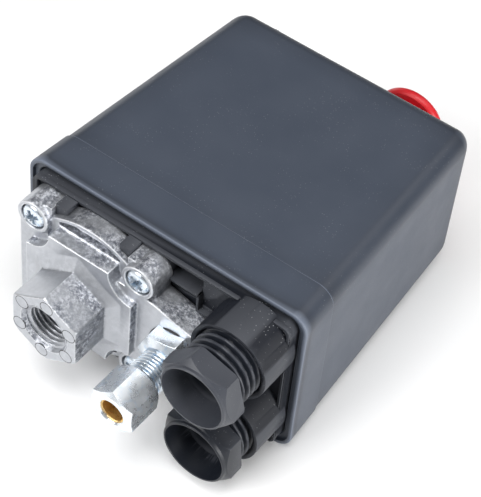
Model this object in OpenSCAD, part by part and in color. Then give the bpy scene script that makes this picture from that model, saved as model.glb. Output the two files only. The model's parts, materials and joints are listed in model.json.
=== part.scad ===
// Air-compressor pressure switch, lying on its broad side.
// Millimetres. The origin is the centre of the pressure port's mouth. +Y runs from the port
// into the switch towards the knob, +X points towards the two cable glands, and +Z is up.

/* [Cover] */
// Width of the cover at its open rim
cover_w = 85; // [80:1:92]
// Depth of the cover along the port axis
cover_l = 83.3; // [80:0.1:90]
// Height of the cover at its open rim
cover_h = 50.3; // [50:0.1:56]
// Draft that narrows the cover on each narrow side, in mm over its whole depth
cover_draft_w = 4.6; // [3:0.1:5]
// Draft that lowers the cover on each broad side, in mm over its whole depth
cover_draft_h = 2.2; // [1:0.1:2.4]
// Radius of the cover's outer edges
cover_r = 5; // [4:0.5:6]
// Wall thickness of the cover
cover_t = 2.4; // [2:0.1:2.5]
// Depth of the slightly proud skirt at the rim
skirt_l = 12.1; // [8:0.1:16]

/* [Knob] */
// Radius of the red knob's head
knob_r = 10.4; // [9:0.1:11]
// Height of the knob's widest circle above the cover's end
knob_rise = 12.9; // [11:0.1:15]
// Travel of the knob when it is pushed to off
knob_travel = 3; // [2:0.5:3]

/* [Base] */
// Distance from the port's mouth to the cover's rim
rim_y = 25; // [25:0.1:26]
// Distance from the port axis to the middle of the cover
cover_mid_x = 16.5; // [16:0.1:17]
// Thickness of the base's floor
base_t = 3.6; // [3:0.1:4]

/* [Cable glands] */
// Distance of the glands from the port axis
gland_x = 45.8; // [45.5:0.1:46]
// Distance of each gland from the middle plane
gland_z = 12.3; // [12:0.1:12.6]
// Outer radius of a gland tower
tower_r = 11; // [10.8:0.1:11.2]
// Outer radius of a gland nut's thread
gland_thread_r = 9.3; // [9:0.1:9.3]
// Width across flats of a gland nut
gland_af = 19; // [18:0.5:19.5]
// How much further the lower gland nut is screwed in
gland_step = 2.8; // [0:0.1:3]

/* [Pressure casting] */
// Width across flats of the port's hexagon
port_af = 20; // [19:0.5:22]
// Length of the port's hexagon
port_hex_l = 11.7; // [10:0.1:12]
// Radius of the port's tapping hole
port_r = 5.9; // [5.7:0.05:6]
// Radius of the diaphragm chamber's rim
chamber_r = 21.5; // [21:0.1:21.8]
// Half the side of the square of flange screws
lug_at = 16.5; // [16.4:0.1:16.6]
// Radius of a screw lug
lug_r = 4.8; // [4.6:0.1:5]

/* [Unloader valve] */
// Distance from the port axis to the valve axis, which is also the knob's
valve_x = 28.5; // [28.3:0.1:28.7]
// Width across flats of the valve body's hexagon
valve_af = 14; // [13:0.5:14]
// Width across flats of the tube nut
tube_nut_af = 12; // [11.6:0.1:12.6]
// Length of the tube nut
tube_nut_l = 11; // [10:0.5:12]
// Radius of the tube that the nut takes
tube_r = 3.1; // [3:0.05:3.2]

/* [Mechanism] */
// Travel of the pressure plate between its two stops
plate_travel = 1.5; // [1:0.1:1.5]
// Outer radius of the range spring
spring_r = 7.6; // [7:0.1:8]
// Wire radius of the range spring
spring_wire_r = 0.8; // [0.6:0.1:0.9]
// Number of turns of the range spring
spring_turns = 7; // [5:1:8]
// Height of the steel frame's top plate above the port's mouth
frame_top_y = 68; // [66:0.5:70]
// Thickness of the frame's sheet steel
sheet = 1.5; // [1.2:0.1:1.5]

/* [Hidden] */
$fn = 64;
eps = 0.01;
run = 0.05;                              // radial clearance of a running fit
touch = 0.05;                            // gap between faces that press together
end_y = rim_y + cover_l;                 // outer face of the cover's end
end_in_y = end_y - cover_t;
seat_y = 23;                             // plane where casting and base meet
floor_y = 23.4;                          // front of the base's floor
base_y = floor_y + base_t;               // inner face of the base
skirt_step = 0.3;                        // how far the skirt stands proud of the cover
base_gap = 0.3;                          // gap between the base and the cover's wall
base_x0 = cover_mid_x - cover_w / 2 + cover_t + skirt_step + base_gap;
base_x1 = cover_mid_x + cover_w / 2 - cover_t - skirt_step - base_gap;
base_z = cover_h / 2 - cover_t - skirt_step - base_gap;
base_lip_y = 22.6;                       // front of the base's raised border
tower_y = 12.7;                          // mouth of a gland tower
tower_end_y = rim_y - 0.4;               // a tower is wider than the cover's opening
lug_y = 15;                              // front face of a screw lug
arm_y = 15;                              // front face of the valve arm
core_y = 12.7;                           // front face of the casting's square core
core_half = 16.7;                        // half the core's width
core_scoop_r = 7.1;                      // hollow around each lug
flare_y = 11.1;                          // where the hexagon starts to flare into the core
flare_af = port_af + 0.6;                // width of the flare where it starts
chamber_y = 17;                          // front edge of the chamber's rim
channel_y = 19.2;                        // floor of the channels behind that rim
lug_pad = 4.4;                           // how far a lug's square shoulders stand out
foot_y = base_y + sheet;                 // top of the frame's foot plate
diaphragm_t = 1.5;
plate_y = seat_y;                        // underside of the pressure plate
plate_r = 12.5;
plate_bore_r = 13;                       // opening around the pressure plate
plate_t = 3;
gland_hex_l = 6.9;
gland_front_y = -1.2;                    // mouth of the upper gland nut
gland_shank_l = 14.2;
seal_back_y = 25;
pivot_x = 18.5;                          // rocker and trip lever pivot line
rocker_y = 33;
trip_y = 52;
pin_r = 1.5;
nose_x = 10.2;                           // where the rocker rests on the pressure plate
leg_x = 15;                              // outer face of the frame's legs
ear_z = 10.5;                            // outer face of the frame's ears
spring_top_y = 58;
stem_r = 3.5;
stem_end_y = 54.05;
post_at = [[-9, 15.5], [26, -15.5]];
post_top_y = 101;
cover_screw_r = 1.75;
return_x = 36.5;                         // where the return spring lifts the carrier
contact_x = [35, 46];
contact_z = 8;
bridge_y = 42;
contact_y = 44.2;                        // where moving and fixed contacts meet
block_y = 46.7;
block_top_y = 60;
stud_r = 5;
stud_end_y = -2;
valve_hex_l = 6;
tube_nut_y = -9;
seat_end_y = 19.5;                       // valve seat inside the arm
lug_list = [for (x = [-1, 1], z = [-1, 1]) [x * lug_at, z * lug_at]];

// A round bar along Y, centred on [x, z]
module rod(x, z, y0, y1, r) {
    translate([x, y0, z]) rotate([-90, 0, 0]) cylinder(r = r, h = y1 - y0);
}

// A cone along Y, from radius r0 at y0 to radius r1 at y1
module taper(x, z, y0, y1, r0, r1) {
    translate([x, y0, z]) rotate([-90, 0, 0]) cylinder(r1 = r0, r2 = r1, h = y1 - y0);
}

// A hexagonal bar along Y with one corner at the angle turn, measured from +X towards +Z
module hex_bar(x, z, y0, y1, af, turn) {
    translate([x, y0, z]) rotate([-90, 0, 0]) rotate([0, 0, -turn])
        cylinder(d = af / cos(30), h = y1 - y0, $fn = 6);
}

// A hexagonal bar whose corners are turned off by a cone at y0
module chamfered_hex(x, z, y0, y1, af, turn, face_r) {
    intersection() {
        hex_bar(x, z, y0, y1, af, turn);
        taper(x, z, y0, y1, face_r, face_r + (y1 - y0) * 1.7);
    }
}

// A box between two opposite corners
module block(a, b) {
    translate(a) cube(b - a);
}

// A round bar along Z between z = -half and z = half
module cross_rod(x, y, half, r) {
    translate([x, y, -half]) cylinder(r = r, h = 2 * half);
}

// A rounded rectangular slab, standing across the Y axis
module slab(x0, x1, z, y0, y1, r) {
    block([x0 + r, y0, -z], [x1 - r, y1, z]);
    block([x0, y0, -z + r], [x1, y1, z - r]);
    for (x = [x0 + r, x1 - r], s = [-1, 1]) rod(x, s * (z - r), y0, y1, r);
}

// Pan-head screw with a cross recess, its head towards -Y
module pan_screw(x, z, head_y, head_r, head_h, shank_r, end) {
    difference() {
        union() {
            rod(x, z, head_y, head_y + head_h, head_r);
            rod(x, z, head_y + head_h - eps, end, shank_r);
        }
        for (a = [0, 90]) translate([x, head_y, z]) rotate([0, a + 20, 0])
            cube([head_r * 1.2, head_h, head_r * 0.3], center = true);
    }
}

// Pan-head screw with its head towards +Y
module top_screw(x, z, head_y, head_r, head_h, shank_r, end) {
    difference() {
        union() {
            rod(x, z, head_y, head_y + head_h, head_r);
            rod(x, z, end, head_y + eps, shank_r);
        }
        translate([x, head_y + head_h, z]) for (a = [0, 90]) rotate([0, a + 15, 0])
            cube([head_r * 1.2, head_h, head_r * 0.3], center = true);
    }
}

// Coil spring along Y as one swept tube with a six-sided section
module coil(x, z, y0, y1, mean_r, wire_r, turns) {
    steps = turns * 12;
    sides = 6;
    pitch = (y1 - y0 - 2 * wire_r) / turns;
    points = [for (i = [0:steps], k = [0:sides - 1])
        let (a = i * 30, b = k * 360 / sides, r = mean_r + wire_r * cos(b))
        [x + r * cos(a), y0 + wire_r + pitch * i / 12 + wire_r * sin(b), z + r * sin(a)]];
    walls = [for (i = [0:steps - 1], k = [0:sides - 1])
        let (n = (k + 1) % sides, p = i * sides)
        [p + k, p + n, p + sides + n, p + sides + k]];
    caps = [[for (k = [sides - 1:-1:0]) k], [for (k = [0:sides - 1]) steps * sides + k]];
    polyhedron(points = points, faces = concat(walls, caps), convexity = 8);
}

// Tapered box with round edges, open towards -Y when it is cut from the larger one
module cover_shape(inset, y0) {
    r = cover_r - inset * 0.7;
    end = end_y - inset;
    drop = (end - r - rim_y) / cover_l;
    w0 = cover_w / 2 - skirt_step - inset - r;
    h0 = cover_h / 2 - skirt_step - inset - r;
    w1 = w0 - (cover_draft_w - skirt_step) * drop;
    h1 = h0 - (cover_draft_h - skirt_step) * drop;
    hull() for (sx = [-1, 1], sz = [-1, 1]) {
        translate([cover_mid_x + sx * w0, y0, sz * h0]) rotate([-90, 0, 0])
            cylinder(r = r, h = 0.1, $fn = 32);
        translate([cover_mid_x + sx * w1, end - r, sz * h1]) rotate([-90, 0, 0])
            sphere(r = r, $fn = 32);
    }
}

module cover_skirt() {
    fall = skirt_l / cover_l;
    hull() for (sx = [-1, 1], sz = [-1, 1], s = [0, 1])
        translate([cover_mid_x + sx * (cover_w / 2 - cover_r - s * cover_draft_w * fall),
                   rim_y + s * (skirt_l - 0.1),
                   sz * (cover_h / 2 - cover_r - s * cover_draft_h * fall)])
            rotate([-90, 0, 0]) cylinder(r = cover_r, h = 0.1, $fn = 32);
}

module cover() {
    color("#2b2d31") difference() {
        union() {
            difference() {
                union() { cover_shape(0, rim_y); cover_skirt(); }
                cover_shape(cover_t, rim_y - 0.05);
            }
            rod(valve_x, 0, end_in_y - 3.3, end_in_y + 1, 6);
            for (p = post_at) rod(p[0], p[1], post_top_y + 0.1, end_in_y + 1, 5);
        }
        rod(valve_x, 0, end_y - 10, end_y + 1, stem_r + run);
        for (p = post_at) {
            rod(p[0], p[1], end_y - 2.2, end_y + 1, 4);
            rod(p[0], p[1], post_top_y - 1, end_y, cover_screw_r + 0.2);
        }
    }
}

module cover_screws() {
    color("#c9ced2") for (p = post_at)
        top_screw(p[0], p[1], end_y - 2.15, 3.5, 2, cover_screw_r, post_top_y - 10);
}

module cover_posts() {
    color("#b4b8bb") for (i = [0, 1]) difference() {
        p = post_at[i];
        foot = i == 0 ? foot_y : base_y;
        hex_bar(p[0], p[1], foot, post_top_y, 7, 30);
        rod(p[0], p[1], post_top_y - 12, post_top_y + 1, cover_screw_r + run);
    }
}

module knob() {
    rim = end_y + knob_rise;
    color("#d5232c") difference() {
        translate([valve_x, 0, 0]) rotate([-90, 0, 0]) rotate_extrude() {
            square_top = rim + 2.6;
            polygon(concat([[0, end_y + 4.2], [5, end_y + 4.2], [5.2, end_y + 7]],
                [for (a = [0:15:90]) [knob_r - 2.2 - 3 * cos(a), rim - 4.2 + 3 * sin(a)]],
                [for (a = [-60:20:80]) [knob_r - 1.6 + 1.6 * cos(a), rim + 1.6 * sin(a)]],
                [[4, square_top], [0, square_top + 0.2]]));
        }
        rod(valve_x, 0, end_y + 4, rim - 1, stem_r + run);
    }
}

module knob_stem() {
    color("#e6e4dc") difference() {
        union() {
            rod(valve_x, 0, stem_end_y, end_y + 3, stem_r);
            rod(valve_x, 0, end_y + 3 - eps, end_y + knob_rise - 2, stem_r);
        }
        difference() {
            rod(valve_x, 0, end_in_y - 4.7, end_in_y - 3.5, 4);
            rod(valve_x, 0, end_in_y - 5, end_in_y - 3.3, 2.3);
        }
    }
}

module stem_clip() {
    y0 = end_in_y - 4.6;
    color("#8f9498") difference() {
        rod(valve_x, 0, y0, y0 + 1, 4.6);
        rod(valve_x, 0, y0 - 1, y0 + 2, 2.35);
        block([valve_x - 1.4, y0 - 1, 0], [valve_x + 1.4, y0 + 2, 6]);
    }
}

module base() {
    color("#26282b") difference() {
        union() {
            slab(base_x0, base_x1, base_z, floor_y, base_y, 3);
            difference() {
                slab(base_x0, base_x1, base_z, base_lip_y, base_y, 3);
                slab(base_x0 + 1.1, base_x1 - 1.1, base_z - 1.1, base_lip_y - 1, floor_y + eps, 2);
            }
            rod(0, 0, seat_y, base_y, chamber_r - 0.6);
            for (p = lug_list) rod(p[0], p[1], seat_y, base_y, lug_r);
            for (s = [-1, 1]) {
                rod(gland_x, s * gland_z, tower_y, tower_end_y, tower_r);
                for (x = [-1, 1])
                    block([x * 10 - 1.8, 18.5, s * 20 - 1.8], [x * 10 + 1.8, base_y, s * 20 + 1.8]);
            }
            block([gland_x - 1, seat_y - 6, -6], [gland_x + 1, base_y, 6]);
            block([30.5, 21.5, 10.5], [33.5, base_y, 12]);
            rod(return_x, 0, base_y - eps, base_y + 1.5, 1.9);
        }
        for (s = [-1, 1]) {
            rod(gland_x, s * gland_z, tower_y - 1, seal_back_y, gland_thread_r + run);
            rod(gland_x, s * gland_z, tower_y, base_y + 1, 6.5);
            taper(gland_x, s * gland_z, tower_y - eps, tower_y + 0.6,
                gland_thread_r + 0.6, gland_thread_r);
        }
        rod(0, 0, seat_y - 1, base_y + 1, plate_bore_r);
        rod(valve_x, 0, seat_y - 9, base_y + 1, 2.3);
        for (p = lug_list) rod(p[0], p[1], seat_y - 1, base_y + 1, 2.2);
        block([20, seat_y - 4, 12.5], [30, base_y + 1, 20]);
        for (s = [-1, 1]) rod(-18, s * 6, base_y - 3, base_y + 1, 1.8);
        rod(0, 0, 10, seat_y, chamber_r + 0.1);
        for (p = lug_list) rod(p[0], p[1], 10, seat_y, lug_r + 0.1);
        block([10, 10, -13], [valve_x + 6.2, seat_y, 13]);
    }
}

// Hexagonal gland nut with a wide mouth and a threaded shank
module gland_nut(z, front, turn) {
    back = front + gland_hex_l;
    end = back + gland_shank_l;
    color("#232528") difference() {
        union() {
            chamfered_hex(gland_x, z, front, back, gland_af, turn, gland_af / 2 - 0.3);
            rod(gland_x, z, back - eps, end, gland_thread_r);
        }
        taper(gland_x, z, front - eps, front + 11, 8.5, 6.2);
        rod(gland_x, z, front + 10, end + 1, 5.5);
    }
}

module gland_seal(z, y0) {
    color("#17181a") difference() {
        rod(gland_x, z, y0, seal_back_y, 9.1);
        rod(gland_x, z, y0 - 1, seal_back_y + 1, 5);
    }
}

gland_end = gland_front_y + gland_hex_l + gland_shank_l + touch;

module gland_nut_upper() { gland_nut(gland_z, gland_front_y, -14); }
module gland_nut_lower() { gland_nut(-gland_z, gland_front_y + gland_step, -24); }
module gland_seal_upper() { gland_seal(gland_z, gland_end); }
module gland_seal_lower() { gland_seal(-gland_z, gland_end + gland_step); }

// Outline of the valve arm in the X-Z plane
arm_outline = [[8, 12.9], [21, 12.4], [34.3, 9], [34.3, -9], [21, -12.4], [8, -12.9]];

// Square body of the casting, hollowed around the four lugs
module casting_core() {
    translate([0, core_y, 0]) rotate([-90, 0, 0]) linear_extrude(seat_y - core_y) difference() {
        square(2 * core_half, center = true);
        for (p = lug_list) translate(p) circle(r = core_scoop_r);
    }
}

// Lug with square shoulders towards the middle of its two sides
module lug(p) {
    side = [sign(p[0]), sign(p[1])];
    rod(p[0], p[1], lug_y, seat_y, lug_r);
    for (q = [[12, lug_at + lug_pad], [lug_at + lug_pad, 12]])
        block([min(p[0], side[0] * q[0]), chamber_y, min(p[1], side[1] * q[1])],
              [max(p[0], side[0] * q[0]), seat_y, max(p[1], side[1] * q[1])]);
}

module port_casting() {
    color("#b9bdc2") difference() {
        union() {
            chamfered_hex(0, 0, 0, core_y + 1, port_af, 90, port_af / 2 + 0.8);
            translate([0, flare_y, 0]) rotate([-90, 0, 0]) rotate([0, 0, -90])
                cylinder(d1 = flare_af / cos(30), d2 = (flare_af + 6.4) / cos(30), h = core_y + eps - flare_y, $fn = 6);
            casting_core();
            rod(0, 0, chamber_y, seat_y, chamber_r);
            for (p = lug_list) lug(p);
            block([-lug_at - lug_pad, 15.5, -lug_at], [-12, seat_y, lug_at]);
            translate([0, arm_y, 0]) rotate([-90, 0, 0])
                linear_extrude(seat_y - arm_y) polygon([for (p = arm_outline) [p[0], -p[1]]]);
        }
        rod(0, 0, -1, port_hex_l, port_r);
        rod(0, 0, port_hex_l - eps, 20, 2.5);
        rod(0, 0, 20, seat_y, 14);
        rod(0, 0, seat_y - diaphragm_t, seat_y + 1, 19.6);
        for (p = lug_list) {
            rod(p[0], p[1], lug_y - 1, lug_y + 2.1, 3.7);
            rod(p[0], p[1], lug_y, seat_y + 1, 2.2);
        }
        // channels behind the chamber's rim, above and below the core
        for (s = [-1, 1]) intersection() {
            rod(0, 0, chamber_y - 1, channel_y, chamber_r - 1.2);
            block([-9.6, chamber_y - 2, s < 0 ? -22 : core_half + 0.4], [9.6, channel_y, s < 0 ? -core_half - 0.4 : 22]);
        }
        rod(valve_x, 0, arm_y - 1, seat_end_y, stud_r + 0.02);
        rod(valve_x, 0, arm_y, seat_y + 1, 2.4);
    }
}

module flange_screws() {
    color("#c9d3da") for (p = lug_list)
        pan_screw(p[0], p[1], lug_y - 0.3, 3.5, 2.4, 2, foot_y + 1);
}

module diaphragm() {
    color("#1c1c1e") rod(0, 0, seat_y - diaphragm_t, seat_y - touch, 19.5);
}

module pressure_plate() {
    color("#d8d6cd") {
        rod(0, 0, plate_y, plate_y + plate_t, plate_r);
        rod(0, 0, plate_y + plate_t - eps, plate_y + plate_t + 2.5, spring_r - 2 * spring_wire_r - 0.2);
    }
}

module range_spring() {
    color("#8d9196") coil(0, 0, plate_y + plate_t + touch, spring_top_y - touch,
        spring_r - spring_wire_r, spring_wire_r, spring_turns);
}

module spring_seat() {
    color("#c2c6c9") {
        rod(0, 0, spring_top_y, spring_top_y + 2, spring_r + 1);
        rod(0, 0, spring_top_y - 2, spring_top_y + eps, spring_r - 2 * spring_wire_r - 0.2);
    }
}

module range_screw() {
    color("#c9ced2") {
        rod(0, 0, spring_top_y + 2 + touch, frame_top_y + 12, 3);
        chamfer_hex_top(0, 0, frame_top_y + 12 - eps, frame_top_y + 16, 10);
    }
}

// A hexagon whose upper corners are turned off
module chamfer_hex_top(x, z, y0, y1, af) {
    intersection() {
        hex_bar(x, z, y0, y1, af, 0);
        taper(x, z, y0, y1, af / 2 + (y1 - y0) * 1.7, af / 2);
    }
}

module lock_nut() {
    color("#c9ced2") difference() {
        chamfer_hex_top(0, 0, frame_top_y + touch, frame_top_y + 5, 10);
        rod(0, 0, frame_top_y - 1, frame_top_y + 6, 3 + run);
    }
}

module frame() {
    top = frame_top_y;
    color("#aeb4b8") difference() {
        union() {
            block([-20, base_y, -20.5], [20, foot_y, 20.5]);
            for (s = [-1, 1]) block([s < 0 ? -leg_x : leg_x - sheet, base_y, -9],
                                    [s < 0 ? -leg_x + sheet : leg_x, top, 9]);
            block([-leg_x, top - 2, -9], [leg_x, top, 9]);
            for (s = [-1, 1]) {
                block([leg_x - sheet, base_y, s < 0 ? -ear_z : ear_z - sheet],
                      [22, 57, s < 0 ? -ear_z + sheet : ear_z]);
                block([leg_x - sheet, 55.5, s < 0 ? -14 : ear_z - sheet],
                      [21, 57, s < 0 ? -ear_z + sheet : 14]);
            }
        }
        rod(0, 0, base_y - 1, foot_y + 1, plate_bore_r);
        for (p = lug_list) rod(p[0], p[1], base_y - 1, foot_y + 1, 2 + run);
        for (s = [-1, 1]) {
            rod(-18, s * 6, base_y - 1, foot_y + 1, 1.75 + run);
            rod(18, s * 12, 55, 58, 1.5 + run);
        }
        rod(0, 0, top - 3, top + 1, 3 + run);
        block([leg_x - 3, foot_y, -8.5], [leg_x + 1, 43, 8.5]);
        cross_rod(pivot_x, rocker_y, 12, pin_r + run);
        cross_rod(pivot_x, trip_y, 12, pin_r + run);
        block([19.9, base_y - 1, -21], [22.1, foot_y + eps, -ear_z - eps]);
        block([19.9, base_y - 1, ear_z + eps], [22.1, foot_y + eps, 21]);
    }
}

module earth_screws() {
    color("#c8b560") for (s = [-1, 1]) {
        top_screw(-18, s * 6, foot_y + 0.8, 2.7, 2, 1.75, base_y - 2.5);
        difference() {
            rod(-18, s * 6, foot_y, foot_y + 0.8 + eps, 2.9);
            rod(-18, s * 6, foot_y - 1, foot_y + 0.5, 1.7);
        }
    }
}

module rocker() {
    nose_y = plate_y + plate_t + touch + 1.2;
    color("#9aa1a6") difference() {
        union() {
            cross_rod(pivot_x, rocker_y, 8, 3);
            block([nose_x + 1, rocker_y - 2, -4.5], [pivot_x, rocker_y + 1.5, 4.5]);
            block([nose_x - 1.2, nose_y, -4.5], [nose_x + 1.2, rocker_y + 1.5, 4.5]);
            cross_rod(nose_x, nose_y, 4.5, 1.2);
            block([pivot_x, rocker_y + 1.5, -5], [33, rocker_y + 3.5, 5]);
            cross_rod(valve_x, rocker_y + 2, 4, 2);
            block([27, rocker_y + 2, -3], [30, 46, 3]);
        }
        cross_rod(pivot_x, rocker_y, 20, pin_r + run);
        rod(0, 0, plate_y + plate_t, rocker_y + 3, spring_r + 0.4);
    }
}

module rocker_pin() { color("#c9ced2") cross_rod(pivot_x, rocker_y, ear_z + 1, pin_r); }

module return_spring() {
    color("#8d9196") coil(return_x, 0, base_y + touch, rocker_y + 3.5 - touch, 2.6, 0.4, 5);
}

module trip_lever() {
    color("#d8d6cd") difference() {
        union() {
            cross_rod(pivot_x, trip_y, 8, 3);
            block([pivot_x, trip_y - 1.5, -4], [30.5, trip_y + 0.8, 4]);
            cross_rod(valve_x, trip_y, 4, 2);
        }
        cross_rod(pivot_x, trip_y, 20, pin_r + run);
    }
}

module trip_pin() { color("#c9ced2") cross_rod(pivot_x, trip_y, ear_z + 1, pin_r); }

module valve_body() {
    color("#c9d3da") difference() {
        union() {
            rod(valve_x, 0, arm_y - eps, seat_end_y - touch, stud_r);
            chamfered_hex(valve_x, 0, arm_y - valve_hex_l, arm_y, valve_af, 67, valve_af / 2 - 0.2);
            rod(valve_x, 0, stud_end_y, arm_y - valve_hex_l + eps, stud_r);
        }
        rod(valve_x, 0, stud_end_y - 1, seat_end_y, 1.6);
        rod(valve_x, 0, stud_end_y - 1, stud_end_y + 6, tube_r);
        taper(valve_x, 0, stud_end_y - eps, stud_end_y + 0.8, 3.9, tube_r);
        rod(valve_x, 0, 11, seat_end_y, 3.5);
    }
}

module tube_nut() {
    y0 = tube_nut_y;
    y1 = tube_nut_y + tube_nut_l;
    color("#cfd9df") difference() {
        chamfered_hex(valve_x, 0, y0, y1, tube_nut_af, 32, tube_nut_af / 2 - 0.4);
        rod(valve_x, 0, y0 - 1, y1 + 1, tube_r);
        taper(valve_x, 0, y0 - eps, y0 + 0.5, tube_r + 0.5, tube_r);
        rod(valve_x, 0, y0 + 5, y1 + 1, stud_r + run);
    }
}

module olive() {
    y0 = tube_nut_y + 5 + touch;
    color("#c99a3c") difference() {
        union() {
            taper(valve_x, 0, y0, y0 + 1.4, 3.5, 4.4);
            rod(valve_x, 0, y0 + 1.4 - eps, stud_end_y - touch, 4.4);
        }
        rod(valve_x, 0, y0 - 1, stud_end_y, tube_r);
    }
}

module valve_pin() {
    color("#c99a3c") {
        rod(valve_x, 0, seat_end_y - touch, rocker_y - touch, 2);
        rod(valve_x, 0, rocker_y - touch - 1, rocker_y - touch, 2.6);
    }
}

module valve_seal() { color("#202124") rod(valve_x, 0, 17.6, seat_end_y - touch, 3.2); }

module valve_spring() {
    color("#8d9196") coil(valve_x, 0, 11.05, 17.5, 2.5, 0.3, 5);
}

module contact_carrier() {
    color("#e9e4d2") {
        block([31, rocker_y + 3.5, -12], [48, bridge_y - 2, 12]);
        for (s = [-1, 1]) block([38, bridge_y - 2 - eps, s * contact_z - 2.5],
                                [43, bridge_y, s * contact_z + 2.5]);
    }
}

module contact_bridges() {
    color("#c8963e") for (s = [-1, 1])
        block([contact_x[0] - 2, bridge_y, s * contact_z - 2.5],
              [contact_x[1] + 2, bridge_y + 1, s * contact_z + 2.5]);
}

module moving_contacts() {
    color("#e3e5e6") for (x = contact_x, s = [-1, 1])
        rod(x, s * contact_z, bridge_y + 1, contact_y - touch, 2);
}

module fixed_contacts() {
    color("#e3e5e6") for (x = contact_x, s = [-1, 1])
        rod(x, s * contact_z, contact_y, block_y - 1.5, 2);
}

module terminals() {
    color("#c8963e") for (x = contact_x, s = [-1, 1]) {
        z = s * contact_z;
        block([x - 2.5, block_y - 1.5, z - 3], [x + 2.5, block_y, z + 3]);
        block([x - 1, block_y - eps, z - 2], [x + 1, block_top_y + eps, z + 2]);
        difference() {
            block([x - 4, block_top_y, min(z - s * 3, z + s * 6)],
                  [x + 4, block_top_y + 1.5, max(z - s * 3, z + s * 6)]);
            rod(x, z + s * 2, block_top_y + 0.5, block_top_y + 2, 2 + run);
        }
    }
}

module terminal_screws() {
    color("#c9ced2") for (x = contact_x, s = [-1, 1])
        top_screw(x, s * (contact_z + 2), block_top_y + 1.6, 3.4, 2.2, 2, block_top_y + 0.55);
}

module terminal_block() {
    color("#303338") difference() {
        union() {
            block([32, block_y, -17.5], [54, block_top_y, 17.5]);
            block([leg_x + 0.5, 57, -14], [21, block_top_y, 14]);
            block([20.5, 57, -10], [33, block_top_y, 10]);
            for (s = [-1, 1]) block([31.5, base_y, s < 0 ? -18 : 14.5],
                                    [35, block_y + 1, s < 0 ? -14.5 : 18]);
        }
        for (x = contact_x, s = [-1, 1])
            block([x - 1.05, block_y - 1, s * contact_z - 2.05],
                  [x + 1.05, block_top_y + 1, s * contact_z + 2.05]);
        rod(valve_x, 0, 56, block_top_y + 1, stem_r + 0.3);
        for (s = [-1, 1]) rod(18, s * 12, 56, block_top_y + 1, 1.5 + run);
    }
}

module block_screws() {
    color("#c9ced2") for (s = [-1, 1])
        top_screw(18, s * 12, block_top_y, 2.8, 1.8, 1.5, 55);
}

cover();
cover_screws();
cover_posts();
knob();
knob_stem();
stem_clip();
base();
gland_nut_upper();
gland_nut_lower();
gland_seal_upper();
gland_seal_lower();
port_casting();
flange_screws();
diaphragm();
pressure_plate();
range_spring();
spring_seat();
range_screw();
lock_nut();
frame();
earth_screws();
rocker();
rocker_pin();
return_spring();
trip_lever();
trip_pin();
valve_body();
tube_nut();
olive();
valve_pin();
valve_seal();
valve_spring();
contact_carrier();
contact_bridges();
moving_contacts();
fixed_contacts();
terminals();
terminal_screws();
terminal_block();
block_screws();
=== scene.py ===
"""Looks of an air compressor's pressure switch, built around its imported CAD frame.

Metres. +Y runs from the pressure port towards the knob, +X towards the cable glands, +Z up.
Lengths in the code are written in millimetres and multiplied by MM.
"""
import json
import math

import bmesh
import bpy
from mathutils import Matrix, Vector


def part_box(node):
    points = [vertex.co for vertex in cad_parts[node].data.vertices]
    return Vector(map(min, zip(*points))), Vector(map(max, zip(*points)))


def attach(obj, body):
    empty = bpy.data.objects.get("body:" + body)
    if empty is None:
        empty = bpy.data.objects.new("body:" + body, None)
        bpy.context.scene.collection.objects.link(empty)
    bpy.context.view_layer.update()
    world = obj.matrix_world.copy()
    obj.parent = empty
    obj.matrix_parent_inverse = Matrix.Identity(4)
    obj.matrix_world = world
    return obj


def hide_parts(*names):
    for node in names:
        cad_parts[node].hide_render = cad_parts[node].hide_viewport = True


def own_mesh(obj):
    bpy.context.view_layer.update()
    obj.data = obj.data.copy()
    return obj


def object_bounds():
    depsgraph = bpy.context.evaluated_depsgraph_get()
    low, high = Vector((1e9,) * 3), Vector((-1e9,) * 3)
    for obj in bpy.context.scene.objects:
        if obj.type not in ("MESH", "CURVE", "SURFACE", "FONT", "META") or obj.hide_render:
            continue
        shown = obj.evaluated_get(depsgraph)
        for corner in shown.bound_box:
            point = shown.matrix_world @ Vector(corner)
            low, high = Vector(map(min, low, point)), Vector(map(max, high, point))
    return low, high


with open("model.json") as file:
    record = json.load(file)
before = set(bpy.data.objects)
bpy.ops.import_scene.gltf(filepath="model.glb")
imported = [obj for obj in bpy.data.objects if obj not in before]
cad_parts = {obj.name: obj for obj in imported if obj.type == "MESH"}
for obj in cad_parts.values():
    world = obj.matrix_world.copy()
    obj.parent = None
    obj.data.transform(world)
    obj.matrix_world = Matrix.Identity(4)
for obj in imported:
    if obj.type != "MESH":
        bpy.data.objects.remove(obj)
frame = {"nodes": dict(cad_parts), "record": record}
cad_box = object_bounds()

MM = 0.001
HOUSING = "housing"


# ---------------------------------------------------------------- dimensions, in millimetres

def mm_box(node):
    """Lowest and highest corner of a CAD node, in millimetres."""
    low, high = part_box(node)
    return low / MM, high / MM


def mm_middle(node, axis):
    """Middle of a CAD node along axis 0, 1 or 2, in millimetres."""
    low, high = mm_box(node)
    return (low[axis] + high[axis]) / 2


def mm_radius(node):
    """Radius of a round CAD node that lies along Y, in millimetres."""
    low, high = mm_box(node)
    return (high.x - low.x) / 2


COVER_LOW, COVER_HIGH = mm_box("cover")
RIM_Y = COVER_LOW.y
END_Y = COVER_HIGH.y
COVER_X = mm_middle("cover", 0)
COVER_W = (COVER_HIGH.x - COVER_LOW.x) / 2
COVER_H = (COVER_HIGH.z - COVER_LOW.z) / 2
DRAFT_W, DRAFT_H = 4.6, 2.2        # how much the half-width and half-height fall from rim to end
WALL = 2.4
SKIRT_L, SKIRT_STEP = 12.1, 0.3    # length of the proud skirt at the rim, and its height
CORNER_R, END_R = 5.0, 5.6

GLAND_X = mm_middle("gland_seal_upper", 0)
GLAND_Z = mm_middle("gland_seal_upper", 2)
VALVE_X = mm_middle("olive", 0)


# ---------------------------------------------------------------- material nodes

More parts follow.
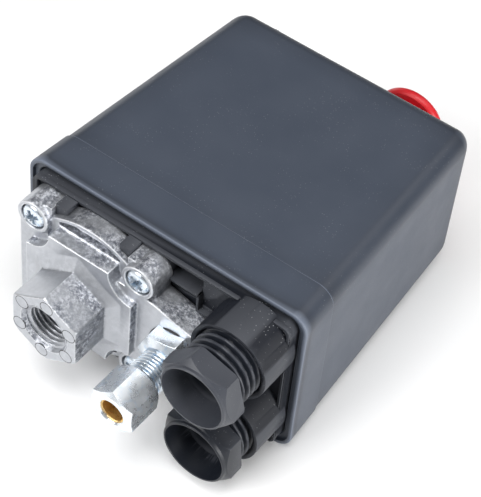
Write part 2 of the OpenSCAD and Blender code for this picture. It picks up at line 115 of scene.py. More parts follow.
class Nodes:
    """A short way to write a material's node graph."""

    def __init__(self, name):
        self.material = bpy.data.materials.new(name)
        self.material.use_nodes = True
        self.tree = self.material.node_tree
        self.shader = self.tree.nodes["Principled BSDF"]
        self.place = self.tree.nodes.new("ShaderNodeTexCoord").outputs["Object"]

    def add(self, kind, links=None, **values):
        """New node, with its properties or constant inputs set and its other inputs linked."""
        node = self.tree.nodes.new(kind)
        for key, value in values.items():
            if hasattr(node, key):
                setattr(node, key, value)
            else:
                node.inputs[key.replace("_", " ")].default_value = value
        for socket, source in (links or {}).items():
            self.tree.links.new(source, node.inputs[socket])
        return node

    def noise(self, size_mm, detail=3, stretch=(1, 1, 1), rough=0.5):
        """Noise whose blobs are about size_mm across."""
        place = self.add("ShaderNodeMapping", {"Vector": self.place}, Scale=stretch)
        return self.add("ShaderNodeTexNoise", {"Vector": place.outputs[0]},
                        Scale=1 / (size_mm * MM), Detail=detail, Roughness=rough).outputs["Fac"]

    def cells(self, size_mm):
        """Distance to the nearest of points scattered about size_mm apart."""
        return self.add("ShaderNodeTexVoronoi", {"Vector": self.place},
                        Scale=1 / (size_mm * MM)).outputs["Distance"]

    def ramp(self, source, stops):
        """Colour ramp through (position, grey or colour) stops."""
        node = self.add("ShaderNodeValToRGB", {"Fac": source})
        while len(node.color_ramp.elements) < len(stops):
            node.color_ramp.elements.new(0.5)
        for element, (position, value) in zip(node.color_ramp.elements, stops):
            colour = (value,) * 3 if isinstance(value, (int, float)) else value
            element.position = position
            element.color = (*colour, 1)
        return node.outputs["Color"]

    def span(self, source, low, high, start=0.0, end=1.0):
        """Maps start..end of the source onto low..high."""
        node = self.add("ShaderNodeMapRange", {"Value": source})
        for socket, value in zip(("From Min", "From Max", "To Min", "To Max"),
                                 (start, end, low, high)):
            node.inputs[socket].default_value = value
        return node.outputs[0]

    def maths(self, operation, a, b=0):
        node = self.add("ShaderNodeMath", operation=operation)
        for socket, value in zip(node.inputs, (a, b)):
            if isinstance(value, (int, float)):
                socket.default_value = value
            else:
                self.tree.links.new(value, socket)
        return node.outputs[0]

    def mix(self, factor, a, b):
        """Colour between a and b; its inputs 0, 6 and 7 are the factor and the two colours."""
        node = self.add("ShaderNodeMix", data_type="RGBA")
        for index, value in ((0, factor), (6, a), (7, b)):
            if isinstance(value, (int, float)):
                node.inputs[index].default_value = value
            elif isinstance(value, tuple):
                node.inputs[index].default_value = (*value, 1)
            else:
                self.tree.links.new(value, node.inputs[index])
        return node.outputs[2]

    def pointiness(self):
        return self.add("ShaderNodeNewGeometry").outputs["Pointiness"]

    def edges(self, low=0.5, high=0.56):
        """1 on sharp convex edges, 0 elsewhere: pale wear on some materials, painted highlight on others."""
        return self.span(self.pointiness(), 0, 1, low, high)

    def bump(self, height, depth_mm, below=None, strength=1.0):
        """Normal for a relief of depth_mm, laid over the relief below."""
        links = {"Height": height}
        if below is not None:
            links["Normal"] = below
        return self.add("ShaderNodeBump", links, Distance=depth_mm * MM,
                        Strength=strength).outputs["Normal"]

    def finish(self, colour, roughness, normal=None, **constants):
        """Links the graph to the shader, and sets its constant inputs."""
        for socket, source in (("Base Color", colour), ("Roughness", roughness), ("Normal", normal)):
            if source is not None:
                self.tree.links.new(source, self.shader.inputs[socket])
        for key, value in constants.items():
            self.shader.inputs[key.replace("_", " ")].default_value = value
        return self.material


# Near-black for the painted shade on soft rounded edges.
PAINTED_EDGE_SHADE = (0.012, 0.014, 0.019)
DUST_GREY = (0.45, 0.46, 0.48)


def moulded_plastic(name, dark, light, rough, shine, wear, dust, edge_shade=0.0, highlight_line_y=None):
    """Moulded plastic: spark-eroded grain, slow colour clouds, handling marks and a little dust.

    Wear pales its sharp edges, and painted shade darkens its soft rounded ones. A painted highlight, a pale
    line, runs round it at the depth of its last argument, in millimetres, where the skirt's step catches the
    light.
    """
    m = Nodes(name)
    clouds = m.noise(14, 4)
    grain = m.noise(0.22, 2)
    marks = m.ramp(m.noise(3.0, 6, (1, 7, 1), 0.7), [(0.60, 0.0), (0.68, 1.0)])
    colour = m.mix(clouds, dark, light)
    # Painted shade: soft rounded edges are darkened towards near-black.
    colour = m.mix(m.span(m.pointiness(), 0, edge_shade, 0.502, 0.52), colour, PAINTED_EDGE_SHADE)
    # Pale colour for edges paled by wear, also used for the painted highlight line.
    pale_edge_and_highlight = tuple(c * 2.6 + 0.05 for c in light)
    colour = m.mix(m.maths("MULTIPLY", m.edges(0.52, 0.545), wear), colour, pale_edge_and_highlight)
    if highlight_line_y is not None:
        # Painted highlight: a pale line round the cover where the skirt's step catches the light.
        depth = m.add("ShaderNodeSeparateXYZ", {"Vector": m.place}).outputs["Y"]
        away = m.maths("ABSOLUTE", m.maths("SUBTRACT", depth, highlight_line_y * MM))
        line = m.span(away, 0.5, 0, 0.05 * MM, 0.17 * MM)
        colour = m.mix(line, colour, pale_edge_and_highlight)
    specks = m.ramp(m.cells(0.85), [(0.07, 1.0), (0.14, 0.0)])
    patches = m.span(m.noise(9.0, 3), 0, dust, 0.45, 0.62)
    colour = m.mix(m.maths("MULTIPLY", specks, patches), colour, DUST_GREY)
    roughness = m.maths("ADD", m.span(clouds, rough - 0.05, rough + 0.05, 0.3, 0.7),
                        m.maths("MULTIPLY", marks, 0.06))
    normal = m.bump(grain, 0.012)
    normal = m.bump(m.noise(6.0, 2), 0.05, normal, 0.25)
    return m.finish(colour, roughness, normal, Specular_IOR_Level=shine)


def cast_alloy(name, pale_edge_and_highlight=1.0):
    """Die-cast aluminium: smooth skin on its front faces, sandy sides, dark pits, edges painted bright as a
    highlight, and faces turned to -X painted paler as a reflection.
    """
    m = Nodes(name)
    sand = m.noise(0.55, 6, rough=0.75)
    lumps = m.noise(2.6, 3)
    stains = m.noise(7.0, 5, rough=0.6)
    facing = m.add("ShaderNodeNewGeometry").outputs["True Normal"]
    turned = m.add("ShaderNodeSeparateXYZ", {"Vector": facing})
    side = m.span(m.maths("ABSOLUTE", turned.outputs["Y"]), 1.0, 0.12, 0.55, 0.9)
    # Painted reflection: faces turned towards -X keep more of the pale smooth skin, as if lit by bright
    # surroundings on the left.
    side = m.maths("MULTIPLY", side, m.span(turned.outputs["X"], 0.15, 1.0, -0.45, -0.2))
    side = m.maths("MULTIPLY", side, m.span(m.noise(8.0, 2), 0.35, 1.0, 0.40, 0.56))
    uneven_sand = m.maths("MULTIPLY", sand, m.span(m.noise(1.3, 3), 0.7, 1.35, 0.3, 0.7))
    speckle = m.ramp(uneven_sand, [(0.34, 0.02), (0.50, 0.35), (0.66, 1.0)])
    skin = m.mix(stains, (0.34, 0.35, 0.38), (0.60, 0.62, 0.65))
    sandy = m.mix(speckle, (0.11, 0.12, 0.15), (0.72, 0.74, 0.79))
    colour = m.mix(side, skin, sandy)
    pits = m.ramp(m.cells(0.9), [(0.0, 1.0), (0.16, 0.0)])
    patchy_pits = m.maths("MULTIPLY", pits, m.span(m.noise(5.0, 2), 0, 1, 0.5, 0.62))
    colour = m.mix(m.maths("MULTIPLY", patchy_pits, 0.5), colour, (0.16, 0.16, 0.17))
    # Painted highlight: convex edges are painted near-white, by the amount of the second argument.
    colour = m.mix(m.maths("MULTIPLY", m.edges(0.515, 0.58), pale_edge_and_highlight), colour, (0.94, 0.95, 0.96))
    roughness = m.span(sand, 0.30, 0.52, 0.3, 0.7)
    normal = m.bump(lumps, 0.14, strength=0.5)
    normal = m.bump(m.maths("MULTIPLY", sand, side), 0.22, normal, 0.9)
    normal = m.bump(patchy_pits, -0.08, normal)
    return m.finish(colour, roughness, normal, Metallic=0.85)


def plated_steel(name):
    """Bright zinc plating: faint drawing lines, cloudy blue passivation and edges pale from wear."""
    m = Nodes(name)
    clouds = m.noise(2.5, 4)
    lines = m.noise(0.5, 2, (1, 0.15, 1))
    blue = m.span(m.noise(1.7, 3), 0, 0.7, 0.52, 0.66)
    colour = m.mix(clouds, (0.48, 0.55, 0.62), (0.78, 0.84, 0.90))
    colour = m.mix(blue, colour, (0.40, 0.58, 0.78))
    colour = m.mix(m.maths("MULTIPLY", m.edges(), 0.5), colour, (0.95, 0.96, 0.97))
    roughness = m.span(clouds, 0.21, 0.37, 0.3, 0.7)
    normal = m.bump(lines, 0.005)
    normal = m.bump(m.noise(1.6, 2), 0.012, normal, 0.2)
    return m.finish(colour, roughness, normal, Metallic=0.85)


def sheet_steel(name):
    """Pressed sheet: rolling lines, dull zinc spangle and bright sheared edges."""
    m = Nodes(name)
    rolled = m.noise(0.4, 3, (1, 1, 14))
    spangle = m.cells(1.8)
    colour = m.mix(m.span(spangle, 0, 1, 0.0, 0.8), (0.44, 0.46, 0.48), (0.62, 0.64, 0.66))
    colour = m.mix(m.maths("MULTIPLY", m.edges(), 0.5), colour, (0.85, 0.86, 0.87))
    roughness = m.span(rolled, 0.30, 0.48, 0.3, 0.7)
    return m.finish(colour, roughness, m.bump(rolled, 0.01), Metallic=1.0)


def spring_wire(name):
    """Drawn spring wire, darker where it was coiled hot."""
    m = Nodes(name)
    drawn = m.noise(0.3, 3, (1, 4, 1))
    colour = m.mix(m.noise(1.5, 3), (0.20, 0.21, 0.22), (0.42, 0.43, 0.45))
    return m.finish(colour, m.span(drawn, 0.25, 0.42, 0.3, 0.7), m.bump(drawn, 0.008), Metallic=1.0)


def turned_brass(name):
    """Turned brass with tool rings and brown tarnish."""
    m = Nodes(name)
    rings = m.noise(0.35, 2, (1, 8, 1))
    tarnish = m.noise(1.8, 4)
    colour = m.mix(tarnish, (0.62, 0.36, 0.09), (0.90, 0.62, 0.24))
    return m.finish(colour, m.span(tarnish, 0.2, 0.4, 0.3, 0.7), m.bump(rings, 0.008), Metallic=0.8)


def silver_contact(name):
    """Silver with small wear marks."""
    m = Nodes(name)
    wear = m.noise(0.6, 4)
    colour = m.mix(wear, (0.70, 0.70, 0.69), (0.90, 0.90, 0.89))
    return m.finish(colour, m.span(wear, 0.18, 0.36, 0.3, 0.7), m.bump(wear, 0.01), Metallic=1.0)


def black_rubber(name):
    """Matt rubber with a pale bloom."""
    m = Nodes(name)
    bloom = m.noise(2.0, 5)
    colour = m.mix(bloom, (0.012, 0.012, 0.013), (0.035, 0.035, 0.037))
    return m.finish(colour, m.span(bloom, 0.55, 0.75, 0.3, 0.7), m.bump(m.noise(0.2, 2), 0.015))


def red_plastic(name):
    """Glossy red plastic, a little cloudy, with a painted highlight of paler red on its sharp edges."""
    m = Nodes(name)
    clouds = m.noise(5.0, 4)
    colour = m.mix(clouds, (0.46, 0.004, 0.010), (0.60, 0.007, 0.014))
    # Painted highlight: sharp edges are painted a paler red.
    colour = m.mix(m.maths("MULTIPLY", m.edges(), 0.2), colour, (0.8, 0.10, 0.10))
    roughness = m.span(m.noise(1.2, 5), 0.34, 0.46, 0.3, 0.7)
    return m.finish(colour, roughness, m.bump(m.noise(0.5, 2), 0.006))


def white_nylon(name):
    """Milky nylon with faint mottling."""
    m = Nodes(name)
    clouds = m.noise(4.0, 4)
    colour = m.mix(clouds, (0.70, 0.68, 0.61), (0.82, 0.80, 0.74))
    return m.finish(colour, m.span(clouds, 0.38, 0.5, 0.3, 0.7), m.bump(m.noise(0.3, 2), 0.01))


def pale_floor(name):
    """Plain white sweep with a trace of cloudiness."""
    m = Nodes(name)
    colour = m.mix(m.noise(60, 3), (0.87, 0.87, 0.87), (0.90, 0.90, 0.90))
    return m.finish(colour, m.span(m.noise(20, 3), 0.6, 0.7, 0.3, 0.7))


MATERIAL = {
    # The cover plastic has painted shade on its soft rounded edges and a painted highlight line at the
    # skirt's step.
    "cover_plastic": moulded_plastic("cover plastic", (0.043, 0.053, 0.074), (0.050, 0.061, 0.084),
                                     rough=0.44, shine=0.5, wear=0.6, dust=0.3, edge_shade=0.55,
                                     highlight_line_y=RIM_Y + SKIRT_L - 0.05),
    "base_plastic": moulded_plastic("base plastic", (0.007, 0.008, 0.012), (0.014, 0.016, 0.021),
                                    rough=0.46, shine=0.18, wear=0.5, dust=0.7),
    "gland_plastic": moulded_plastic("gland plastic", (0.006, 0.008, 0.012), (0.010, 0.012, 0.018),
                                     rough=0.40, shine=0.35, wear=0.5, dust=0.3),
    "seal_rubber": black_rubber("seal rubber"),
    # The cast alloy has a painted highlight on its edges; the cast marks copy leaves it out.
    "cast_alloy": cast_alloy("cast alloy"),
    "cast_marks": cast_alloy("cast marks", 0.0),
    "zinc_steel": plated_steel("zinc-plated steel"),
    "sheet_steel": sheet_steel("sheet steel"),
    "spring_steel": spring_wire("spring wire"),
    "brass": turned_brass("turned brass"),
    "contact_silver": silver_contact("silver contact"),
    "red_plastic": red_plastic("red plastic"),
    "white_plastic": white_nylon("white nylon"),
}
SLOT_OF = {s["node"]: s["material_slot"] for s in frame["record"]["subparts"]}
BODY_OF = {n: b for b, nodes in frame["record"]["behaviour"]["bodies"].items() for n in nodes}


# ---------------------------------------------------------------- mesh helpers

def new_object(name, mesh):
    piece = bpy.data.objects.new(name, mesh)
    bpy.context.scene.collection.objects.link(piece)
    return piece


WELD = 1e-7        # metres between points of a built mesh that count as one
CAD_WELD = 1e-6    # the same for a mesh from the frame


def build(name, points, faces):
    """Object from points in millimetres."""
    mesh = bpy.data.meshes.new(name)
    mesh.from_pydata([Vector(p) * MM for p in points], [], faces)
    clean = bmesh.new()
    clean.from_mesh(mesh)
    bmesh.ops.remove_doubles(clean, verts=clean.verts, dist=WELD)
    bmesh.ops.recalc_face_normals(clean, faces=clean.faces)
    clean.to_mesh(mesh)
    clean.free()
    return new_object(name, mesh)


def evaluated(piece):
    """Applies the piece's modifiers to its mesh."""
    bpy.context.view_layer.update()
    graph = bpy.context.evaluated_depsgraph_get()
    mesh = bpy.data.meshes.new_from_object(piece.evaluated_get(graph))
    piece.modifiers.clear()
    piece.data = mesh
    return piece


def combine(piece, other, operation):
    """Boolean of two closed pieces; the second is used up."""
    modifier = piece.modifiers.new("boolean", "BOOLEAN")
    modifier.operation, modifier.solver, modifier.object = operation, "EXACT", other
    evaluated(piece)
    bpy.data.objects.remove(other)
    return piece


def bevelled(piece, width_mm, segments=2):
    """Rounds the piece's edges that turn by more than 32 degrees."""
    modifier = piece.modifiers.new("bevel", "BEVEL")
    modifier.width, modifier.segments = width_mm * MM, segments
    modifier.limit_method, modifier.angle_limit = "ANGLE", math.radians(32)
    modifier.use_clamp_overlap = True
    return evaluated(piece)


def smooth(piece, angle):
    """Smooth shading, but for edges that turn by more than the angle in degrees."""
    for polygon in piece.data.polygons:
        polygon.use_smooth = True
    piece.data.set_sharp_from_angle(angle=math.radians(angle))
    return piece


def joined(name, parts):
    """One object from several, with their meshes put together."""
    whole = bmesh.new()
    for part in parts:
        part.data.transform(part.matrix_world)
        whole.from_mesh(part.data)
        bpy.data.objects.remove(part)
    mesh = bpy.data.meshes.new(name)
    whole.to_mesh(mesh)
    whole.free()
    return new_object(name, mesh)


def lathe(name, outline, x=0.0, z=0.0, steps=72):
    """Solid or ring turned about the line parallel to Y through (x, z).

    The outline is a closed run of (radius, y) points.
    """
    count = len(outline)
    points, faces = [], []
    for i in range(steps):
        a = 2 * math.pi * i / steps
        points += [(x + r * math.cos(a), y, z + r * math.sin(a)) for r, y in outline]
    for i in range(steps):
        for k in range(count):
            a, b = i * count, (i + 1) % steps * count
            faces.append((a + k, a + (k + 1) % count, b + (k + 1) % count, b + k))
    piece = build(name, points, faces)
    flat = bmesh.new()
    flat.from_mesh(piece.data)
    bmesh.ops.dissolve_degenerate(flat, dist=WELD, edges=flat.edges)
    flat.to_mesh(piece.data)
    flat.free()
    return piece


def hex_bar(name, x, z, y0, y1, across_flats, turn):
    """Hexagonal bar along Y with a corner at the angle turn, in degrees from +X to +Z."""
    r = across_flats / 2 / math.cos(math.radians(30))
    angles = [math.radians(turn + 60 * k) for k in range(6)]
    corners = [(x + r * math.cos(a), z + r * math.sin(a)) for a in angles]
    points = [(cx, y, cz) for y in (y0, y1) for cx, cz in corners]
    faces = [tuple(range(6)), tuple(range(6, 12))]
    faces += [(k, (k + 1) % 6, 6 + (k + 1) % 6, 6 + k) for k in range(6)]
    return build(name, points, faces)


def block(name, low, high):
    """Box between two corners, to cut with or to bevel and join."""
    points = [(x, y, z) for x in (low[0], high[0]) for y in (low[1], high[1]) for z in (low[2], high[2])]
    faces = [(0, 1, 3, 2), (4, 5, 7, 6), (0, 1, 5, 4), (2, 3, 7, 6), (0, 2, 6, 4), (1, 3, 7, 5)]
    return build(name, points, faces)


def thread(name, x, z, y0, y1, root_r, crest_r, pitch, hole_r, slope=1.35, valley=0.12):
    """Helical thread on a tube, or in a sleeve when the crests and the hole change places.

    Slope sets how steep its flanks are, and valley how wide and flat its roots are.
    """
    steps, rows_per_turn = 72, 12
    rows = int((y1 - y0) / pitch * rows_per_turn)
    run_out = 0.6 * pitch

    def radius(y, a):
        phase = ((y - y0) / pitch - a / (2 * math.pi)) % 1
        ridge = min(1, max(0, slope * (1 - abs(2 * phase - 1)) - valley))
        fade = min(1, (y - y0) / run_out, (y1 - y) / run_out)
        return root_r + (crest_r - root_r) * ridge * max(0, fade)

    points, faces = [], []
    for j in range(rows + 1):
        y = y0 + (y1 - y0) * j / rows
        for i in range(steps):
            a = 2 * math.pi * i / steps
            r = radius(y, a)
            points.append((x + r * math.cos(a), y, z + r * math.sin(a)))
    for y in (y1, y0):
        for i in range(steps):
            a = 2 * math.pi * i / steps
            points.append((x + hole_r * math.cos(a), y, z + hole_r * math.sin(a)))
    total = rows + 3
    for j in range(total):
        for i in range(steps):
            a, b = j * steps, (j + 1) % total * steps
            k = (i + 1) % steps
            faces.append((a + i, a + k, b + k, b + i))
    return build(name, points, faces)


def coil(name, x, z, y0, y1, mean_r, wire_r, turns):
    """Compression spring along Y with closed end turns."""
    per_turn, sides = 40, 10
    closed = 1.0
    total = turns + 2 * closed
    height = y1 - y0 - 2 * wire_r
    count = int(total * per_turn)

    def level(turn):
        low = 2 * wire_r * closed
        if turn < closed:
            return low * turn / closed
        if turn > total - closed:
            return height - low * (total - turn) / closed
        return low + (height - 2 * low) * (turn - closed) / turns

    points, faces = [], []
    for i in range(count + 1):
        turn = i / per_turn
        a = 2 * math.pi * turn
        for k in range(sides):
            b = 2 * math.pi * k / sides
            r = mean_r + wire_r * math.cos(b)
            points.append((x + r * math.cos(a), y0 + wire_r + level(turn) + wire_r * math.sin(b),
                           z + r * math.sin(a)))
    for i in range(count):
        for k in range(sides):
            n = (k + 1) % sides
            faces.append((i * sides + k, i * sides + n, (i + 1) * sides + n, (i + 1) * sides + k))
    faces.append(tuple(range(sides)))
    faces.append(tuple(count * sides + k for k in range(sides)))
    return build(name, points, faces)


def place(piece, node, slot=None, body=None, replace=True, angle=35, look=None):
    """Gives a piece the material of its slot, or of the look when one is given, and its body, and hides the
    CAD node that it stands for.
    """
    slot = slot or SLOT_OF[node]
    piece.data.materials.clear()
    piece.data.materials.append(MATERIAL[look or slot])
    smooth(piece, angle)
    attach(piece, body or BODY_OF[node])
    if replace:
        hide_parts(node)
    return piece


def copied(node, name):
    """Welded copy of a CAD node's mesh, with flat regions merged into single faces."""
    mesh = frame["nodes"][node].data.copy()
    clean = bmesh.new()
    clean.from_mesh(mesh)
    bmesh.ops.remove_doubles(clean, verts=clean.verts, dist=CAD_WELD)
    bmesh.ops.dissolve_limit(clean, angle_limit=math.radians(0.4), verts=clean.verts, edges=clean.edges)
    clean.to_mesh(mesh)
    clean.free()
    mesh.materials.clear()
    return new_object(name, mesh)


def refined(node, edge_mm):
    """A CAD node with softened edges."""
    return place(bevelled(copied(node, node + "_looks"), edge_mm), node)


# ---------------------------------------------------------------- cover

# Steps along the shell as pairs of distance along Y and inset from the outline.
RIM_LIP = ((0.9, 1.15), (0.05, 1.05), (0.0, 0.85), (0.0, 0.35), (0.12, 0.1), (0.4, 0.0))
SKIRT_EDGE = ((-0.25, 0.0), (-0.1, 0.03), (0.0, 0.12), (0.02, SKIRT_STEP + 0.08),
              (0.25, SKIRT_STEP + 0.02), (0.5, SKIRT_STEP))
INNER = WALL + SKIRT_STEP
INNER_END, INNER_END_R = END_Y - WALL, END_R - WALL


def rounded_section(half_w, half_h, r, y):
    """Closed rounded rectangle about the cover's axis, always with the same number of points."""
    corner, side = 10, 10
    points = []
    centres = [(1, 1, 0), (-1, 1, 90), (-1, -1, 180), (1, -1, 270)]
    for index, (sx, sz, start) in enumerate(centres):
        cx, cz = sx * (half_w - r), sz * (half_h - r)
        for k in range(corner + 1):
            a = math.radians(start + 90 * k / corner)
            points.append((COVER_X + cx + r * math.cos(a), y, cz + r * math.sin(a)))
        nx, nz, _ = centres[(index + 1) % 4]
        a = math.radians(start + 90)
        first = points[-1]
        last = (COVER_X + nx * (half_w - r) + r * math.cos(a), y, nz * (half_h - r) + r * math.sin(a))
        for k in range(1, side):
            t = k / side
            points.append(tuple(first[i] + (last[i] - first[i]) * t for i in range(3)))
    return points


def cover_half(y, inset):
    """Half-width, half-height and corner radius of the drafted wall at depth y."""
    fall = (y - RIM_Y) / (END_Y - RIM_Y)
    return COVER_W - inset - DRAFT_W * fall, COVER_H - inset - DRAFT_H * fall, CORNER_R - 0.7 * inset


def cover_wall(y, inset, end=END_Y, round_r=END_R):
    """Section of the wall at y; it draws in over the last round_r before the end."""
    w, h, r = cover_half(y, inset)
    past = y - (end - round_r)
    if past > 0:
        back = round_r * (1 - math.sqrt(max(0, 1 - (past / round_r) ** 2)))
        w, h, r = w - back, h - back, max(0.25, r - back)
    return rounded_section(w, h, r, y)


def cover_sections():
    """The shell's outside sections from the lip to the end face, and its inside ones on the way back."""
    lip_end, skirt_end, last = RIM_Y + RIM_LIP[-1][0], RIM_Y + SKIRT_L, END_Y - END_R
    body_start = skirt_end + SKIRT_EDGE[-1][0]
    skirt_run = SKIRT_L - 0.7    # from the lip to just before the skirt's edge
    outside = [cover_wall(RIM_Y + dy, inset) for dy, inset in RIM_LIP]
    outside += [cover_wall(lip_end + skirt_run * k / 5, 0) for k in range(1, 6)]
    outside += [cover_wall(skirt_end + dy, inset) for dy, inset in SKIRT_EDGE]
    outside += [cover_wall(body_start + (last - body_start) * k / 12, SKIRT_STEP) for k in range(1, 13)]
    outside += [cover_wall(last + END_R * math.sin(math.radians(10 * k)), SKIRT_STEP) for k in range(1, 10)]
    round_start = INNER_END - INNER_END_R
    depths = [round_start + INNER_END_R * math.sin(math.radians(90 * k / 8)) for k in range(8, -1, -1)]
    depths += [80, 60, 40, RIM_Y + 1.2]
    inside = [cover_wall(y, INNER, INNER_END, INNER_END_R) for y in depths]
    inside.append(cover_wall(RIM_Y + 0.9, INNER - 0.2, INNER_END, INNER_END_R))
    return outside, inside


def cover():
    """The drafted shell, its boss round the knob's stem, and its two screw pillars."""
    outside, inside = cover_sections()
    sections = outside + inside
    count, outer_count = len(sections[0]), len(outside)
    faces = []
    for j in range(len(sections)):
        if j == outer_count - 1:
            continue
        n = (j + 1) % len(sections)
        faces += [(j * count + i, j * count + (i + 1) % count, n * count + (i + 1) % count, n * count + i)
                  for i in range(count)]
    for j in (outer_count - 1, outer_count):
        faces.append(tuple(j * count + i for i in range(count)))
    shell = build("cover_shell", [p for section in sections for p in section], faces)
    add_boss(shell)
    for x, z in islands("cover_screws"):
        add_pillar(shell, x, z)
    place(shell, "cover", angle=28)


def add_boss(shell):
    """Round boss behind the end face, bored for the knob's stem."""
    start, boss_r = mm_box("stem_clip")[1].y + 0.3, 6
    combine(shell, lathe("boss", [(0, start), (boss_r, start), (boss_r, END_Y - 1), (0, END_Y - 1)], VALVE_X),
            "UNION")
    hole_r = mm_radius("knob_stem") + 0.05
    mouth_r = hole_r + 0.5
    hole = [(0, start - 1), (hole_r, start - 1), (hole_r, END_Y - 0.4), (mouth_r, END_Y + 0.1),
            (mouth_r, END_Y + 1), (0, END_Y + 1)]
    combine(shell, lathe("hole", hole, VALVE_X), "DIFFERENCE")


def add_pillar(shell, x, z):
    """Pillar down to the top of a cover post, with a stepped hole for the screw and its head."""
    start, pillar_r = mm_box("cover_posts")[1].y + 0.1, 5
    shank_r, head_r, mouth_r, seat = 2, 4, 4.4, END_Y - 2.2
    pillar = [(0, start), (pillar_r, start), (pillar_r, END_Y - 1), (0, END_Y - 1)]
    combine(shell, lathe("pillar", pillar, x, z), "UNION")
    bore = [(0, start - 1), (shank_r, start - 1), (shank_r, seat), (head_r, seat), (head_r, END_Y - 0.3),
            (mouth_r, END_Y + 0.1), (mouth_r, END_Y + 1), (0, END_Y + 1)]
    combine(shell, lathe("bore", bore, x, z), "DIFFERENCE")


def islands(node):
    """Middle of each separate solid of a node, in millimetres, seen along Y."""
    mesh = bmesh.new()
    mesh.from_mesh(frame["nodes"][node].data)
    bmesh.ops.remove_doubles(mesh, verts=mesh.verts, dist=CAD_WELD)
    left, found = set(mesh.verts), []
    while left:
        queue = [left.pop()]
        group = list(queue)
        while queue:
            for edge in queue.pop().link_edges:
                for vert in edge.verts:
                    if vert in left:
                        left.remove(vert)
                        queue.append(vert)
                        group.append(vert)
        xs = [v.co.x / MM for v in group]
        zs = [v.co.z / MM for v in group]
        found.append(((min(xs) + max(xs)) / 2, (min(zs) + max(zs)) / 2))
    mesh.free()
    return sorted(found)


# ---------------------------------------------------------------- screws

def cross_screw(name, x, z, head_y, head_r, head_h, shank_r, end_y, turn):
    """Pan-head screw with a Pozidriv recess. Its head is at head_y and its point at end_y."""
    out = 1 if end_y < head_y else -1
    under = head_y - out * head_h
    dome = [(0, head_y)]
    for k in range(1, 9):
        a = math.radians(90 * k / 8)
        dome.append((head_r * math.sin(a) ** 0.72, head_y - out * 0.62 * head_h * (1 - math.cos(a)) ** 1.3))
    outline = dome + [(head_r, under + out * 0.1), (head_r - 0.1, under), (shank_r, under),
                      (shank_r, end_y), (0, end_y)]
    screw = lathe(name, outline, x, z, 48)
    reach, deep = head_r * 0.62, head_h * 0.75

    def cut_bar(half_x, half_y, half_z, spin):
        bar = block("recess", (-half_x, -half_y, -half_z), (half_x, half_y, half_z))
        bar.matrix_world = (Matrix.Translation(Vector((x, head_y, z)) * MM)
                            @ Matrix.Rotation(math.radians(turn + spin), 4, "Y"))
        combine(screw, bar, "DIFFERENCE")

    for spin in (0, 90):
        cut_bar(reach, deep, head_r * 0.17, spin)
    for spin in (45, 135):
        cut_bar(reach * 0.8, deep * 0.35, head_r * 0.05, spin)
    core = lathe("core", [(0, head_y - out * deep), (head_r * 0.2, head_y - out * deep),
                          (head_r * 0.34, head_y + out), (0, head_y + out)], x, z, 24)
    return bevelled(combine(screw, core, "DIFFERENCE"), 0.05, 1)


def screws(node, head_h, head_r, shank_r, head_side, turns):
    """All the screws of a node as one piece; head_side is 1 where the heads face +Y."""
    low, high = mm_box(node)
    head_y, end_y = (high.y, low.y) if head_side > 0 else (low.y, high.y)
    parts = [cross_screw(f"{node}_{i}", x, z, head_y, head_r, head_h, shank_r, end_y,
                         turns[i % len(turns)]) for i, (x, z) in enumerate(islands(node))]
    place(joined(node + "_looks", parts), node)


# ---------------------------------------------------------------- pressure casting

PORT_MOUTH_R, PORT_TAP_R, PORT_DEPTH = 7.35, 6.75, 10.8
PORT_ROOT_R, PORT_CREST_R, PORT_PITCH = 6.62, 5.75, 1.337
MARK_R, MARK_CIRCLE_R, MARK_START = 1.86, 8.6, 24    # ejector marks round the mouth; start in degrees
CAST_GRAIN = 0.24                                    # size of the remesh that rounds the cast edges


def casting():
    """The cast body: the CAD node with soft cast edges, a real thread, and its ejector marks."""
    body = copied("port_casting", "casting_body")
    tap_hole = [(0, -1), (PORT_MOUTH_R, -1), (PORT_MOUTH_R, 1.0), (PORT_TAP_R, 1.0), (PORT_TAP_R, PORT_DEPTH),
                (0, PORT_DEPTH)]
    combine(body, lathe("tap_hole", tap_hole), "DIFFERENCE")
    modifier = body.modifiers.new("remesh", "REMESH")
    modifier.mode, modifier.voxel_size = "VOXEL", CAST_GRAIN * MM
    soft = body.modifiers.new("soft", "SMOOTH")
    soft.factor, soft.iterations = 0.5, 3
    evaluated(body)
    place(body, "port_casting", angle=60)
    place(thread("port_thread", 0, 0, 0.75, PORT_DEPTH - 0.2, PORT_ROOT_R, PORT_CREST_R, PORT_PITCH, 6.9),
          "port_casting")
    lip = [(7.1, -0.06), (7.3, 0.02), (7.5, 0.3), (7.5, 1.3), (6.85, 1.3), (6.5, 0.85), (6.62, 0.6),
           (7.0, 0.12)]
    mark = [(0, -0.02), (1.4, -0.02), (1.7, -0.02), (MARK_R, 0.0), (MARK_R, 0.5), (0, 0.5)]
    # Painted shade: thin near-black rings round the ejector marks stand for the shade in the creases round
    # them.
    painted_shade_ring = [(1.8, 0.1), (1.84, -0.035), (1.98, -0.035), (2.04, 0.1)]
    marks, painted_shade_rings = [lathe("mouth_chamfer", lip)], []
    for k in range(6):
        a = math.radians(MARK_START + 60 * k)
        x, z = MARK_CIRCLE_R * math.cos(a), MARK_CIRCLE_R * math.sin(a)
        marks.append(lathe(f"ejector_{k}", mark, x, z, 32))
        painted_shade_rings.append(lathe(f"gap_{k}", painted_shade_ring, x, z, 40))
    place(joined("casting_marks", marks), "port_casting", angle=20, look="cast_marks")
    # The painted shade rings take the black rubber look.
    place(joined("casting_painted_shade_rings", painted_shade_rings), "port_casting", look="seal_rubber")


# ---------------------------------------------------------------- cable glands

GLAND_FLATS, GLAND_NUT_L = 19, 6.9
GLAND_TUBE_R, GLAND_FUNNEL_L = 5.5, 10
GLAND_ROOT_R, GLAND_CREST_R, GLAND_PITCH = 7.95, 9.3, 2.1


